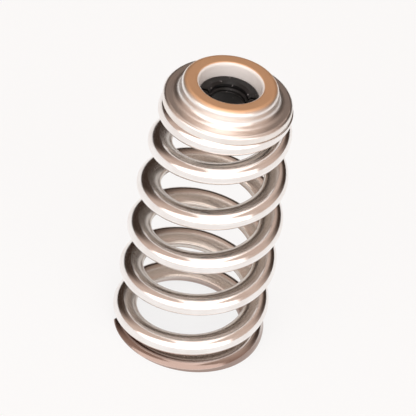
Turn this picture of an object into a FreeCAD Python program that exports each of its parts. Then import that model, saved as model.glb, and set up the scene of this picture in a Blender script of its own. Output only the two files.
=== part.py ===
import FreeCAD, Part
import math
import os
import Sketcher

# Engine valve spring with its retainer and split locks, in millimetres.
# +Z is the spring's axis and points up; the origin is on the axis, in the plane of the ground foot.

Vector = FreeCAD.Vector
UP = Vector(0, 0, 1)

doc = FreeCAD.newDocument("engine_valve_spring")

# Driving sizes: name, value, what it is
SIZES = [
    ("foot_diameter", 32.8, "outer diameter of the lower coils"),
    ("top_diameter", 27.2, "outer diameter where the wire ends at the top"),
    ("free_length", 59.0, "spring height between its two ground faces"),
    ("straight_height", 13.0, "height up to which the coils keep the foot's diameter"),
    ("wire_width", 5.1, "ovate wire, across the coil"),
    ("wire_height", 4.1, "ovate wire, along the spring"),
    ("wire_nose", 1.3, "radius of the wire's narrow side, which faces the axis"),
    ("coil_turns", 6.83, "turns of wire from tip to tip"),
    ("foot_closed_turns", 1.0, "turns wound tight at the foot"),
    ("top_closed_turns", 1.2, "turns wound tight at the top"),
    ("pitch_ramp", 0.4, "turns over which the tight winding opens out"),
    ("closed_gap", 0.1, "gap between turns that are wound tight"),
    ("tip_thickness", 0.85, "what grinding leaves of the wire at its tip"),
    ("foot_tip_angle", 195.0, "where the wire's lower tip lies, in degrees about the axis"),
    ("flange_diameter", 26.7, "retainer flange, outside"),
    ("flange_thickness", 2.0, "retainer flange"),
    ("flange_round_share", 0.22, "upper edge of the flange, as a share of the flange's reach past the hub"),
    ("flange_break", 0.3, "lower edge of the flange"),
    ("hub_diameter", 20.0, "raised hub of the retainer"),
    ("hub_height", 5.6, "from the spring's top face to the hub's top face"),
    ("hub_round", 1.2, "outer edge of the hub's top face"),
    ("hub_fillet_share", 0.95, "fillet at the hub's foot, as a share of its room"),
    ("step_depth", 1.9, "retainer step that sits inside the top coil"),
    ("step_clearance", 0.15, "radial gap between that step and the coil"),
    ("boss_depth", 3.8, "from the spring's top face down to the retainer's lower end"),
    ("boss_wall", 1.9, "retainer wall around the taper at its lower end"),
    ("mouth_round", 0.7, "rounded edge at the mouth of the taper"),
    ("taper_angle", 7.0, "half angle of the lock taper, in degrees"),
    ("lock_top_radius", 6.2, "lock halves at their wide end"),
    ("lock_sink", 2.9, "how far the locks' wide end lies below the hub's top face"),
    ("lock_height", 6.8, "lock halves, along the axis"),
    ("lock_seat_gap", 0.05, "gap between the locks and the taper"),
    ("lock_split", 0.6, "gap between the two lock halves"),
    ("lock_round", 0.35, "outer edge of the locks' wide end"),
    ("lock_chamfer", 0.5, "chamfer at both ends of the locks' bore"),
    ("stem_radius", 4.0, "bore of the locks, for the valve stem"),
    ("bead_radius", 0.6, "bead inside each lock half, which fills the stem's groove"),
    ("bead_drop", 1.9, "from the locks' wide end down to the middle of the bead"),
]

sheet = doc.addObject("Spreadsheet::Sheet", "sizes")
for row, (name, value, note) in enumerate(SIZES, start=1):
    sheet.set("A%d" % row, name)
    sheet.set("B%d" % row, str(value))
    sheet.set("C%d" % row, note)
    sheet.setAlias("B%d" % row, name)
doc.recompute()


def size(name):
    return float(sheet.get(name))


def add_body(name):
    body = doc.addObject("PartDesign::Body", name)
    body.Label = name
    return body


def origin_feature(body, role):
    return next(feature for feature in body.Origin.OriginFeatures if feature.Role == role)


def add_sketch(body, name, role):
    sketch = body.newObject("Sketcher::SketchObject", name)
    sketch.AttachmentSupport = [(origin_feature(body, role), "")]
    sketch.MapMode = "FlatFace"
    return sketch


def bind(sketch, constraint, rule):
    """Add a dimension to a sketch and tie it to an expression on the sizes."""
    number = sketch.addConstraint(constraint)
    sketch.setExpression("Constraints[%d]" % number, rule)


def add_outline(body, name, role, corners):
    """Closed outline of straight lines in an upright plane, from (across, height) expressions."""
    sketch = add_sketch(body, name, role)
    points = [Vector(sketch.evalExpression(across), sketch.evalExpression(height), 0)
              for across, height in corners]
    count = len(points)
    for index in range(count):
        sketch.addGeometry(Part.LineSegment(points[index], points[(index + 1) % count]))
    for index, (across, height) in enumerate(corners):
        sketch.addConstraint(Sketcher.Constraint("Coincident", index, 1, (index - 1) % count, 2))
        point = points[index]
        bind(sketch, Sketcher.Constraint("DistanceX", -1, 1, index, 1, point.x), across)
        bind(sketch, Sketcher.Constraint("DistanceY", -1, 1, index, 1, point.y), height)
    return sketch


def add_profile(body, name, corners):
    """Half section of a turned piece, from (radius, height) expressions."""
    return add_outline(body, name, "XZ_Plane", corners)


def add_disc_sketch(body, name, radius):
    """Circle about the axis, in the XY plane."""
    sketch = add_sketch(body, name, "XY_Plane")
    value = sketch.evalExpression(radius)
    sketch.addGeometry(Part.Circle(Vector(0, 0, 0), UP, value))
    sketch.addConstraint(Sketcher.Constraint("Coincident", 0, 3, -1, 1))
    bind(sketch, Sketcher.Constraint("Radius", 0, value), radius)
    return sketch


def revolve(body, name, sketch, degrees):
    feature = body.newObject("PartDesign::Revolution", name)
    feature.Profile = sketch
    feature.ReferenceAxis = (sketch, ["V_Axis"])
    feature.Angle = degrees
    feature.Midplane = degrees < 360
    doc.recompute()
    return feature


SAME_PLACE = 1e-4


def round_edges(body, name, base, places, rule):
    """Fillet the circular edges at the given (radius, height) expressions."""
    wanted = [(sheet.evalExpression(radius), sheet.evalExpression(height)) for radius, height in places]
    names = []
    for number, edge in enumerate(base.Shape.Edges, start=1):
        point = edge.valueAt((edge.FirstParameter + edge.LastParameter) / 2)
        for radius, height in wanted:
            if math.hypot(math.hypot(point.x, point.y) - radius, point.z - height) < SAME_PLACE:
                names.append("Edge%d" % number)
    fillet = body.newObject("PartDesign::Fillet", name)
    fillet.Base = (base, names)
    fillet.setExpression("Radius", rule)
    doc.recompute()
    return fillet


# Valve spring: one ovate wire, wound right-handed, with closed and ground ends. The lower coils
# have one diameter and the rest draw in towards the top, each a little more than the one below.

CURVE_STEPS = 12
PITCH_STEPS = 120


def smooth_step(share):
    share = min(max(share, 0.0), 1.0)
    return share * share * (3 - 2 * share)


def open_share(turn):
    """0 where the wire is wound tight, 1 where the coils are open."""
    ramp = size("pitch_ramp")
    from_foot = (turn - size("foot_closed_turns")) / ramp + 0.5
    from_top = (size("coil_turns") - turn - size("top_closed_turns")) / ramp + 0.5
    return smooth_step(from_foot) * smooth_step(from_top)


def wire_heights(count):
    """Height of the wire's middle at count + 1 even steps from the lower tip to the upper one."""
    turns = size("coil_turns")
    tight_pitch = size("wire_height") + size("closed_gap")
    first = size("tip_thickness") - size("wire_height") / 2
    rise = size("free_length") - 2 * first
    stride = turns / (count * PITCH_STEPS)
    shares = [open_share((step + 0.5) * stride) for step in range(count * PITCH_STEPS)]
    open_turns = sum(shares) * stride
    open_pitch = (rise - tight_pitch * (turns - open_turns)) / open_turns
    heights = [first]
    for step in range(count):
        part = shares[step * PITCH_STEPS:(step + 1) * PITCH_STEPS]
        heights.append(heights[-1] + sum(tight_pitch + (open_pitch - tight_pitch) * s for s in part) * stride)
    return heights


def coil_radius(height):
    """Outer radius of the coils at a height: a parabola above the straight part."""
    straight = size("straight_height")
    share = max(0.0, (height - straight) / (size("free_length") - straight))
    return (size("foot_diameter") - (size("foot_diameter") - size("top_diameter")) * share ** 2) / 2


def wire_path():
    """Curve through the centre of the wire's round outer side, from a tip on the X axis."""
    count = round(size("coil_turns") * CURVE_STEPS)
    points = []
    for step, height in enumerate(wire_heights(count)):
        angle = 2 * math.pi * size("coil_turns") * step / count
        radius = coil_radius(height) - size("wire_height") / 2
        points.append(Vector(radius * math.cos(angle), radius * math.sin(angle), height))
    curve = Part.BSplineCurve()
    curve.interpolate(points)
    return Part.Wire(curve.toShape())


def add_wire_section(body):
    """Ovate section about the centre of its round outer side, with the narrow nose towards the axis."""
    sketch = add_sketch(body, "wire_section", "XZ_Plane")
    sketch.setExpression(".AttachmentOffset.Base.x", "(sizes.foot_diameter - sizes.wire_height) / 2")
    sketch.setExpression(".AttachmentOffset.Base.y", "sizes.tip_thickness - sizes.wire_height / 2")
    half = size("wire_height") / 2
    nose = size("wire_nose")
    reach = size("wire_width") - half - nose
    flank = (reach ** 2 + half ** 2 - nose ** 2) / (2 * (half - nose))
    turn = math.atan2(flank - half, -reach)

    def arc(x, y, radius, start, end):
        return Part.ArcOfCircle(Part.Circle(Vector(x, y, 0), UP, radius), start, end)

    outer, upper, tip, lower = 0, 1, 2, 3
    sketch.addGeometry(arc(0, 0, half, -math.pi / 2, math.pi / 2))
    sketch.addGeometry(arc(0, half - flank, flank, math.pi / 2, turn))
    sketch.addGeometry(arc(-reach, 0, nose, turn, 2 * math.pi - turn))
    sketch.addGeometry(arc(0, flank - half, flank, 2 * math.pi - turn, 3 * math.pi / 2))
    for first, second in ((outer, upper), (upper, tip), (tip, lower), (lower, outer)):
        sketch.addConstraint(Sketcher.Constraint("Tangent", first, 2, second, 1))
    sketch.addConstraint(Sketcher.Constraint("Coincident", outer, 3, -1, 1))
    sketch.addConstraint(Sketcher.Constraint("PointOnObject", outer, 1, -2))
    sketch.addConstraint(Sketcher.Constraint("PointOnObject", outer, 2, -2))
    sketch.addConstraint(Sketcher.Constraint("PointOnObject", tip, 3, -1))
    bind(sketch, Sketcher.Constraint("Radius", outer, half), "sizes.wire_height / 2")
    bind(sketch, Sketcher.Constraint("Radius", tip, nose), "sizes.wire_nose")
    bind(sketch, Sketcher.Constraint("DistanceX", tip, 3, outer, 3, reach),
         "sizes.wire_width - sizes.wire_height / 2 - sizes.wire_nose")
    return sketch


GRIND_DEPTH = "2 * sizes.wire_height"


def grind(body, name, height, above):
    """Cut the wire flat at a height, taking away what stands below it or above it."""
    sketch = add_disc_sketch(body, name + "_face", "sizes.foot_diameter")
    sketch.setExpression(".AttachmentOffset.Base.z", height)
    cut = body.newObject("PartDesign::Pocket", name)
    cut.Profile = sketch
    cut.Reversed = above
    cut.setExpression("Length", GRIND_DEPTH)
    doc.recompute()


path = doc.addObject("Part::Feature", "wire_path")
path.Shape = wire_path()
spring = add_body("valve_spring")
section = add_wire_section(spring)
doc.recompute()
wire = spring.newObject("PartDesign::AdditivePipe", "wire")
wire.Profile = section
wire.Spine = (path, ["Edge1"])
wire.Mode = "Frenet"
doc.recompute()
grind(spring, "ground_foot", "0", False)
grind(spring, "ground_top", "sizes.free_length", True)
spring.Placement.Rotation.Axis = UP
spring.setExpression("Placement.Rotation.Angle", "sizes.foot_tip_angle")

# Retainer: a steel turning. Its flange rests on the spring's top face, the step below fills the
# top coil, and the hub above holds the taper that the locks wedge into.

FLANGE_SEAT = "sizes.free_length"
FLANGE_TOP = "(sizes.free_length + sizes.flange_thickness)"
HUB_TOP = "(sizes.free_length + sizes.hub_height)"
STEP_END = "(sizes.free_length - sizes.step_depth)"
BOSS_END = "(sizes.free_length - sizes.boss_depth)"
LOCK_TOP = "(%s - sizes.lock_sink)" % HUB_TOP
LOCK_END = "(%s - sizes.lock_height)" % LOCK_TOP
FLANGE_EDGE = "sizes.flange_diameter / 2"
HUB_EDGE = "sizes.hub_diameter / 2"
FLANGE_REACH = "((sizes.flange_diameter - sizes.hub_diameter) / 2)"
HUB_SIDE = "(sizes.hub_height - sizes.flange_thickness)"
HUB_FILLET = "sizes.hub_fillet_share / (1 / %s + 1 / %s)" % (FLANGE_REACH, HUB_SIDE)
FLANGE_ROUND = "sizes.flange_round_share * " + FLANGE_REACH
STEP_EDGE = "(sizes.top_diameter / 2 - sizes.wire_width - sizes.step_clearance)"


def lock_radius(height):
    """Outer radius of the locks' cone at a height."""
    return "(sizes.lock_top_radius + (%s - %s) * tan(sizes.taper_angle * 1 deg))" % (height, LOCK_TOP)


def bore_radius(height):
    """Radius of the retainer's taper at a height."""
    return "(%s + sizes.lock_seat_gap / cos(sizes.taper_angle * 1 deg))" % lock_radius(height)


retainer = add_body("retainer")
retainer_profile = add_profile(retainer, "retainer_profile", [
    (bore_radius(BOSS_END), BOSS_END),
    (bore_radius(BOSS_END) + " + sizes.boss_wall", BOSS_END),
    (STEP_EDGE, STEP_END),
    (STEP_EDGE, FLANGE_SEAT),
    (FLANGE_EDGE, FLANGE_SEAT),
    (FLANGE_EDGE, FLANGE_TOP),
    (HUB_EDGE, FLANGE_TOP),
    (HUB_EDGE, HUB_TOP),
    (bore_radius(HUB_TOP), HUB_TOP),
])
turned = revolve(retainer, "retainer_turning", retainer_profile, 360)
filleted = round_edges(retainer, "hub_root", turned, [(HUB_EDGE, FLANGE_TOP)], HUB_FILLET)
filleted = round_edges(retainer, "hub_shoulder", filleted, [(HUB_EDGE, HUB_TOP)], "sizes.hub_round")
filleted = round_edges(retainer, "bore_mouth", filleted, [(bore_radius(HUB_TOP), HUB_TOP)],
                       "sizes.mouth_round")
filleted = round_edges(retainer, "flange_rim", filleted, [(FLANGE_EDGE, FLANGE_TOP)], FLANGE_ROUND)
round_edges(retainer, "flange_lip", filleted, [(FLANGE_EDGE, FLANGE_SEAT)], "sizes.flange_break")

# Lock halves: two halves of a tapered collar, with a bead inside that fills the stem's groove.
# The kerf between them leaves each half free to wedge against the stem.

LOCK_BEAD = "(%s - sizes.bead_drop)" % LOCK_TOP


def add_lock_half(name, degrees):
    body = add_body(name)
    profile = add_profile(body, name + "_profile", [
        ("sizes.stem_radius + sizes.lock_chamfer", LOCK_END),
        (lock_radius(LOCK_END), LOCK_END),
        ("sizes.lock_top_radius", LOCK_TOP),
        ("sizes.stem_radius + sizes.lock_chamfer", LOCK_TOP),
        ("sizes.stem_radius", LOCK_TOP + " - sizes.lock_chamfer"),
        ("sizes.stem_radius", LOCK_END + " + sizes.lock_chamfer"),
    ])
    collar = revolve(body, name + "_collar", profile, 180)
    round_edges(body, name + "_edge", collar, [("sizes.lock_top_radius", LOCK_TOP)], "sizes.lock_round")

    bead = add_sketch(body, name + "_bead_section", "XZ_Plane")
    radius, height = size("stem_radius"), sheet.evalExpression(LOCK_BEAD)
    bead.addGeometry(Part.Circle(Vector(radius, height, 0), UP, size("bead_radius")))
    bind(bead, Sketcher.Constraint("DistanceX", -1, 1, 0, 3, radius), "sizes.stem_radius")
    bind(bead, Sketcher.Constraint("DistanceY", -1, 1, 0, 3, height), LOCK_BEAD)
    bind(bead, Sketcher.Constraint("Radius", 0, size("bead_radius")), "sizes.bead_radius")
    revolve(body, name + "_bead", bead, 180)

    side, low, high = HUB_EDGE, LOCK_END + " - sizes.lock_split", LOCK_TOP + " + sizes.lock_split"
    kerf_face = add_outline(body, name + "_kerf_face", "YZ_Plane", [
        ("-" + side, low),
        (side, low),
        (side, high),
        ("-" + side, high),
    ])
    kerf = body.newObject("PartDesign::Pocket", name + "_kerf")
    kerf.Profile = kerf_face
    kerf.Reversed = True
    kerf.setExpression("Length", "sizes.lock_split / 2")
    body.Placement = FreeCAD.Placement(Vector(0, 0, 0), FreeCAD.Rotation(UP, degrees))
    doc.recompute()
    return body


lock_front = add_lock_half("lock_half_front", -90)
lock_back = add_lock_half("lock_half_back", 90)

doc.recompute()
for item in doc.Objects:
    if "Invalid" in item.State or "Error" in item.State:
        raise RuntimeError("%s failed: %s" % (item.Name, item.getStatusString()))

os.makedirs("parts", exist_ok=True)
for body in (spring, retainer, lock_front, lock_back):
    shape = body.Shape
    if shape.isNull() or not shape.isValid() or len(shape.Solids) != 1:
        raise RuntimeError("%s has no valid single solid" % body.Label)
    shape.exportStep("parts/%s.step" % body.Label)
    print(body.Label, round(shape.Volume, 1), "mm3")
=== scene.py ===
import bpy
import math
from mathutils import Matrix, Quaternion, Vector

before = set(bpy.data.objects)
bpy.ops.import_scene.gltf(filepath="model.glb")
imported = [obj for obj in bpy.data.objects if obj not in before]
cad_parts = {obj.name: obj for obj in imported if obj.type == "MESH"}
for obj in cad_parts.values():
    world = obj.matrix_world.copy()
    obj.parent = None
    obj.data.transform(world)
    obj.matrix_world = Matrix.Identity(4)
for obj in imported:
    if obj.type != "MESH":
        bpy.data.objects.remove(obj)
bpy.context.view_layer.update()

# The valve spring stands free on its ground foot. The camera looks down on it from the front
# through a long lens, and is rolled a little, so that the spring leans to the right.

WATCHED_POINT = Vector((0, 0, 0.0315))
CAMERA_DISTANCE = 0.6625
CAMERA_RISE = math.radians(39.0)
CAMERA_ROLL = math.radians(10.5)
LENS = 275
NEAREST_SEEN = 0.01

camera = bpy.data.objects.new("camera", bpy.data.cameras.new("camera"))
bpy.context.scene.collection.objects.link(camera)
camera.data.lens = LENS
camera.data.clip_start = NEAREST_SEEN
outward = Vector((0, -math.cos(CAMERA_RISE), math.sin(CAMERA_RISE)))
camera.location = WATCHED_POINT + CAMERA_DISTANCE * outward
aim = outward.to_track_quat("Z", "Y") @ Quaternion((0, 0, 1), CAMERA_ROLL)
camera.rotation_euler = aim.to_euler()
bpy.context.scene.camera = camera

# The floor is a wide round sheet of plain white board. Its edge bends up all round, so that
# the board also stands behind the spring in a low view, and the steel mirrors its white rim.

BOARD_FLAT = 2.0
BOARD_RISE = 0.25
BOARD_SIDES = 96
BEND_STEPS = 8
FLOOR_COLOUR = (0.93, 0.935, 0.94, 1)
FLOOR_MOTTLE = (0.90, 0.905, 0.91, 1)
MOTTLE_SCALE = 9
MOTTLE_LOW, MOTTLE_HIGH = 0.35, 0.7
BOARD_ROUGHNESS = 0.55
BOARD_SHINE = 0.3
BOARD_GLOW = (1, 1, 1, 1)
BOARD_GLOW_SHARE = 0.8
GLOWS_FOR = ("Is Camera Ray", "Is Glossy Ray", "Is Transmission Ray")


class Socket:
    """Wraps one shader socket, so that sums on it add their Math nodes."""

    def __init__(self, tree, link):
        self.tree = tree
        self.link = link

    def node(self, kind, settings=None, output=0, **values):
        """Any other node: settings first, then values or links by socket name, or _2 for number 2."""
        made = self.tree.nodes.new("ShaderNode" + kind)
        for name, value in (settings or {}).items():
            setattr(made, name, value)
        for name, value in values.items():
            number = name[1:]
            feed(made, int(number) if number.isdigit() else name.replace("_", " "), value)
        return Socket(self.tree, made.outputs[output])

    def maths(self, operation, first, second):
        return self.node("Math", {"operation": operation}, _0=first, _1=second)

    def __add__(self, other):
        return self.maths("ADD", self, other)

    __radd__ = __add__

    def __mul__(self, other):
        return self.maths("MULTIPLY", self, other)

    __rmul__ = __mul__

    def __sub__(self, other):
        return self.maths("SUBTRACT", self, other)

    def __rsub__(self, other):
        return self.maths("SUBTRACT", other, self)

    def ease(self, low, high):
        """0 below low, 1 above high, smooth between."""
        return self.node("MapRange", {"interpolation_type": "SMOOTHSTEP"},
                         Value=self, From_Min=low, From_Max=high)

    def noise(self, scale, detail):
        """Soft patches that change over this place."""
        return self.node("TexNoise", Vector=self, Scale=scale, Detail=detail)

    def part(self, axis):
        """One coordinate of this vector."""
        return self.node("SeparateXYZ", output=axis, Vector=self)

    def level(self):
        """This vector without its height."""
        return self.node("VectorMath", {"operation": "MULTIPLY"}, _0=self, _1=(1, 1, 0))

    def off_axis(self):
        """Distance of this place from the Z axis."""
        return self.node("VectorMath", {"operation": "LENGTH"}, output="Value", _0=self.level())

    def along(self, other):
        """How far this vector reaches in the direction of the other."""
        return self.node("VectorMath", {"operation": "DOT_PRODUCT"}, output="Value", _0=self, _1=other)

    def blend(self, first, second):
        """Colour that goes from first to second as this value goes from 0 to 1."""
        return self.node("Mix", {"data_type": "RGBA"}, output=2, _0=self, _6=first, _7=second)


def feed(node, name, value):
    """Link what varies to a node's socket, or set what is the same all over."""
    if isinstance(value, Socket):
        node.id_data.links.new(value.link, node.inputs[name])
    else:
        node.inputs[name].default_value = value


def new_material(name):
    """A material with its shader, and the place on the piece that the sums start from."""
    material = bpy.data.materials.new(name)
    material.use_nodes = True
    tree = material.node_tree
    shader = next(node for node in tree.nodes if node.type == "BSDF_PRINCIPLED")
    place = Socket(tree, shader.outputs[0]).node("TexCoord", output="Object")
    return material, shader, place


def board_white():
    """White that glows for the camera, for mirrors and for glass, and still takes a shadow."""
    material, shader, place = new_material("board_white")
    mottle = place.noise(MOTTLE_SCALE, detail=3).ease(MOTTLE_LOW, MOTTLE_HIGH)
    feed(shader, "Base Color", mottle.blend(FLOOR_COLOUR, FLOOR_MOTTLE))
    feed(shader, "Roughness", BOARD_ROUGHNESS)
    feed(shader, "Specular IOR Level", BOARD_SHINE)
    straight, mirrored, refracted = [place.node("LightPath", output=ray) for ray in GLOWS_FOR]
    share = BOARD_GLOW_SHARE * (straight + mirrored + refracted)
    plain = Socket(place.tree, shader.outputs[0])
    glow = place.node("Emission", Color=BOARD_GLOW, Strength=1.0)
    output = next(node for node in place.tree.nodes if node.type == "OUTPUT_MATERIAL")
    feed(output, "Surface", place.node("MixShader", _0=share, _1=plain, _2=glow))
    return material


def board_sheet():
    """Flat disc inside the first ring, then rings that climb a quarter circle."""
    bends = [math.pi / 2 * step / BEND_STEPS for step in range(BEND_STEPS + 1)]
    turns = [2 * math.pi * side / BOARD_SIDES for side in range(BOARD_SIDES)]
    points = []
    for bend in bends:
        radius = BOARD_FLAT + BOARD_RISE * math.sin(bend)
        height = BOARD_RISE * (1 - math.cos(bend))
        points += [(radius * math.cos(turn), radius * math.sin(turn), height) for turn in turns]
    faces = [tuple(range(BOARD_SIDES))]
    for ring in range(BEND_STEPS):
        for side in range(BOARD_SIDES):
            here = ring * BOARD_SIDES + side
            there = ring * BOARD_SIDES + (side + 1) % BOARD_SIDES
            faces.append((here, there, there + BOARD_SIDES, here + BOARD_SIDES))
    return points, faces


floor_mesh = bpy.data.meshes.new("floor")
points, faces = board_sheet()
floor_mesh.from_pydata(points, [], faces)
floor_mesh.materials.append(board_white())
floor = bpy.data.objects.new("floor", floor_mesh)
bpy.context.scene.collection.objects.link(floor)

# The room is pinkish and of middling brightness, and dark only low at the back. A long soft
# lamp stands in front of the spring and reaches to the left, and a smaller one hangs above it.

ROOM_COLOUR = (0.60, 0.46, 0.39, 1)
ROOM_BACK = (0.04, 0.025, 0.018, 1)
BACK_FROM, BACK_FULL = 0.0, 0.6
LOW_UNTIL, LOW_GONE = 0.55, 0.85
LAMP_WHITE = (1.0, 0.995, 0.99)
FRONT_PLACE = (-0.85, -1.1, 0.75)
FRONT_TARGET = (-0.85, 0, 0.75)
FRONT_SIZE = (5.5, 1.5)
FRONT_POWER = 30
TOP_PLACE = (0, -0.23, 1.5)
TOP_TARGET = (0, -0.23, 0)
TOP_SIZE = (1.0, 1.74)
TOP_POWER = 6.4


def add_softbox(name, place, target, size, power):
    """Large rectangular lamp at a place, facing a target."""
    lamp = bpy.data.lights.new(name, "AREA")
    lamp.shape = "RECTANGLE"
    lamp.size, lamp.size_y = size
    lamp.energy = power
    lamp.color = LAMP_WHITE
    box = bpy.data.objects.new(name, lamp)
    box.location = place
    box.rotation_euler = (Vector(place) - Vector(target)).to_track_quat("Z", "Y").to_euler()
    bpy.context.scene.collection.objects.link(box)


add_softbox("front_softbox", FRONT_PLACE, FRONT_TARGET, FRONT_SIZE, FRONT_POWER)
add_softbox("top_softbox", TOP_PLACE, TOP_TARGET, TOP_SIZE, TOP_POWER)

world = bpy.data.worlds.new("studio")
world.use_nodes = True
background = world.node_tree.nodes["Background"]
sky = Socket(world.node_tree, background.outputs[0]).node("TexCoord", output="Generated")
low_back = sky.part("Y").ease(BACK_FROM, BACK_FULL) * (1 - sky.part("Z").ease(LOW_UNTIL, LOW_GONE))
feed(background, "Color", low_back.blend(ROOM_COLOUR, ROOM_BACK))
feed(background, "Strength", 1.0)
bpy.context.scene.world = world

# Valve spring: ovate wire of chrome-silicon steel, wound cold, closed at both ends and ground
# flat there. Tumbling has polished the outside of the coils, and the inside stays duller. The inside
# is also painted darker as painted shade, and the ground foot is painted brown as painted shade.

WIRE_STEEL = (0.94, 0.91, 0.89, 1)
WIRE_WARM = (0.88, 0.83, 0.80, 1)
# Painted shade: darker steel colour on the faces that look in towards the axis.
WIRE_INSIDE_SHADE = (0.68, 0.62, 0.57, 1)
# Painted shade: dark brown on the ground foot, near the floor.
WIRE_FOOT_SHADE = (0.38, 0.29, 0.255, 1)
WIRE_CLOUDS = 220
CLOUD_SHARE, MARK_SHARE = 0.6, 0.4
PATCH_LOW, PATCH_HIGH = 0.38, 0.62
COIL_PITCH = 0.01126
TURNS_PER_RADIAN = 0.5 / math.pi
STREAKS_ACROSS = 2600
STREAKS_ALONG = 3
STREAK_BUMP = 0.03
MARK_DEPTH = 0.0001
INSIDE_FROM, INSIDE_FULL = -0.12, 0.18
# Heights over which the painted foot shade fades out.
FOOT_SHADE_FULL, FOOT_SHADE_GONE = 0.0012, 0.0030
WIRE_ROUGHNESS = 0.13
WIRE_CLOUD_ROUGHNESS = 0.06
STREAK_ROUGHNESS = 0.04
INSIDE_ROUGHNESS = 0.08


def facing(place):
    """Way the surface faces."""
    return place.node("TexCoord", output="Normal")


def facing_axis(place):
    """1 where the surface looks straight at the spring's axis, and -1 where it looks away."""
    outward_level = place.node("VectorMath", {"operation": "NORMALIZE"}, _0=place.level())
    return 0 - facing(place).along(outward_level)


def warm_patches(cloud, marks):
    """Soft patches of warmer steel, broken up by the marks of the tool."""
    return (CLOUD_SHARE * cloud + MARK_SHARE * marks).ease(PATCH_LOW, PATCH_HIGH)


def streaks_along_wire(place):
    """Marks of the drawing die: noise that is long along the helix and fine across it."""
    turn = place.maths("ARCTAN2", place.part("Y"), place.part("X")) * TURNS_PER_RADIAN
    lane = place.part("Z") - COIL_PITCH * turn
    lanes = place.node("CombineXYZ", X=STREAKS_ACROSS * place.off_axis(), Y=STREAKS_ACROSS * lane,
                       Z=STREAKS_ALONG * turn)
    return lanes.noise(1, detail=3)


def wire_finish():
    """Polished steel, duller inside the coils, with painted shade inside the coils and at the foot."""
    material, shader, place = new_material("spring_wire_polish")
    cloud = place.noise(WIRE_CLOUDS, detail=4)
    streak = streaks_along_wire(place)
    polished = warm_patches(cloud, streak).blend(WIRE_STEEL, WIRE_WARM)
    # Painted shade: faces that look at the axis are darkened; they are also made rougher.
    inside_shade_and_dullness = facing_axis(place).ease(INSIDE_FROM, INSIDE_FULL)
    # Painted shade: the foot, up to a few millimetres, is coloured dark brown.
    painted_foot_shade = 1 - place.part("Z").ease(FOOT_SHADE_FULL, FOOT_SHADE_GONE)
    feed(shader, "Base Color", painted_foot_shade.blend(inside_shade_and_dullness.blend(polished, WIRE_INSIDE_SHADE), WIRE_FOOT_SHADE))
    feed(shader, "Metallic", 1.0)
    marked = WIRE_ROUGHNESS + WIRE_CLOUD_ROUGHNESS * cloud + STREAK_ROUGHNESS * streak
    feed(shader, "Roughness", marked + INSIDE_ROUGHNESS * inside_shade_and_dullness)
    feed(shader, "Normal", place.node("Bump", Height=streak, Strength=STREAK_BUMP, Distance=MARK_DEPTH))
    return material


def dress(node, material):
    """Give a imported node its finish."""
    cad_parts[node].data.materials[0] = material


dress("valve_spring", wire_finish())

# Retainer: turned from steel bar, hardened, and polished on the lathe. The hub's top face, where it
# faces up, is tinted straw-brown. The taper inside is ground matt, so that the locks grip.

RETAINER_STEEL = (0.92, 0.89, 0.86, 1)
RETAINER_WARM = (0.86, 0.79, 0.74, 1)
RETAINER_STRAW = (0.92, 0.61, 0.38, 1)
RETAINER_TAPER = (0.95, 0.94, 0.93, 1)
RETAINER_CLOUDS = 160
TURNING_MARKS = 5200
RING_BUMP = 0.08
STRAW_LOW, STRAW_HIGH = 0.0630, 0.0640
UPWARD_FROM, UPWARD_FULL = 0.55, 0.95
TAPER_FROM, TAPER_FULL = 0.3, 0.7
TAPER_MATT_SHARE = 0.9
RETAINER_ROUGHNESS = 0.25
RETAINER_CLOUD_ROUGHNESS = 0.08
RING_ROUGHNESS = 0.04
STRAW_ROUGHNESS = 0.25
TAPER_ROUGHNESS = 0.2


def turning_rings(place):
    """Marks of the lathe: noise that changes with the radius and the height alone."""
    radius = TURNING_MARKS * place.off_axis()
    height = TURNING_MARKS * place.part("Z")
    return place.node("CombineXYZ", X=radius, Y=height).noise(1, detail=2)


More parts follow.
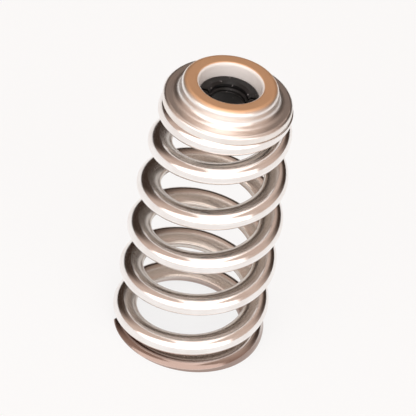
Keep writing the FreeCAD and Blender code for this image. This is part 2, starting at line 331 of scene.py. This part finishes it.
def retainer_finish():
    """Polished steel with lathe rings, a straw-coloured hub face and a matt taper."""
    material, shader, place = new_material("retainer_polish")
    cloud = place.noise(RETAINER_CLOUDS, detail=4)
    rings = turning_rings(place)
    polished = warm_patches(cloud, rings).blend(RETAINER_STEEL, RETAINER_WARM)
    upward = facing(place).part("Z").ease(UPWARD_FROM, UPWARD_FULL)
    straw = upward * place.part("Z").ease(STRAW_LOW, STRAW_HIGH)
    taper = facing_axis(place).ease(TAPER_FROM, TAPER_FULL)
    feed(shader, "Base Color", taper.blend(straw.blend(polished, RETAINER_STRAW), RETAINER_TAPER))
    feed(shader, "Metallic", 1 - TAPER_MATT_SHARE * taper)
    marked = RETAINER_ROUGHNESS + RETAINER_CLOUD_ROUGHNESS * cloud + RING_ROUGHNESS * rings
    feed(shader, "Roughness", marked + STRAW_ROUGHNESS * straw + TAPER_ROUGHNESS * taper)
    feed(shader, "Normal", place.node("Bump", Height=rings, Strength=RING_BUMP, Distance=MARK_DEPTH))
    return material


dress("retainer", retainer_finish())

# Lock halves: two half rings of pressed steel that sit in the retainer's taper, where they would
# clamp the valve stem. Their skin is black oxide, a little worn where the parts rub.

OXIDE_BLACK = (0.004, 0.004, 0.004, 1)
OXIDE_GREY = (0.014, 0.013, 0.014, 1)
OXIDE_WORN = (0.30, 0.29, 0.30, 1)
OXIDE_CLOUDS = 400
GREY_FROM, GREY_FULL = 0.4, 0.7
RUB_MARKS = 1100
RUB_FROM, RUB_FULL = 0.66, 0.74
OXIDE_SHINE = 0.35
OXIDE_ROUGHNESS = 0.3
OXIDE_CLOUD_ROUGHNESS = 0.15


def lock_finish():
    """Black oxide with greyer clouds and small worn specks."""
    material, shader, place = new_material("lock_black_oxide")
    cloud = place.noise(OXIDE_CLOUDS, detail=4)
    rub = place.noise(RUB_MARKS, detail=2).ease(RUB_FROM, RUB_FULL)
    skin = cloud.ease(GREY_FROM, GREY_FULL).blend(OXIDE_BLACK, OXIDE_GREY)
    feed(shader, "Base Color", rub.blend(skin, OXIDE_WORN))
    feed(shader, "Specular IOR Level", OXIDE_SHINE)
    feed(shader, "Roughness", OXIDE_ROUGHNESS + OXIDE_CLOUD_ROUGHNESS * cloud)
    return material


black = lock_finish()
dress("lock_half_front", black)
dress("lock_half_back", black)

# Picture: plain view transform

bpy.context.scene.view_settings.view_transform = "Standard"
